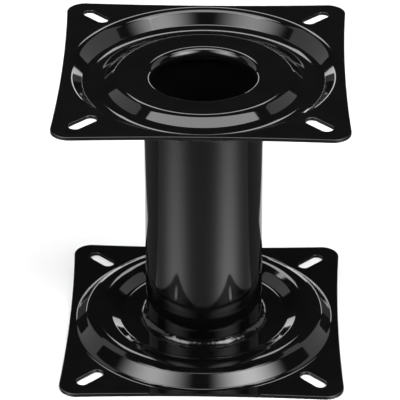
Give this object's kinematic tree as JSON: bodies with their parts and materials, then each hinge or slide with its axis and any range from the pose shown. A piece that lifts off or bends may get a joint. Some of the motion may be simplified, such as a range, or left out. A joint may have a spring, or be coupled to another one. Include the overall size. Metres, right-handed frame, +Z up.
{
  "type": "boat seat pedestal",
  "caption": "Fixed-height seat pedestal: round steel tube welded between identical pressed square plates with a ring groove, raised boss and slotted corners, painted gloss black.",
  "frame": {"origin": "middle of the lower plate's mounting face, on the tube's axis", "axes": "+Z up along the tube's axis; X and Y along the sides of the square plates"},
  "size_m": [0.1716, 0.1716, 0.178],
  "materials": {
    "black_paint": "gloss",
    "painted_weld": "gloss"
  },
  "bodies": {
    "root": {"upper_plate": "black_paint", "lower_plate": "black_paint", "column_tube": "black_paint", "upper_weld_bead": "painted_weld", "lower_weld_bead": "painted_weld"}
  },
  "joints": []
}
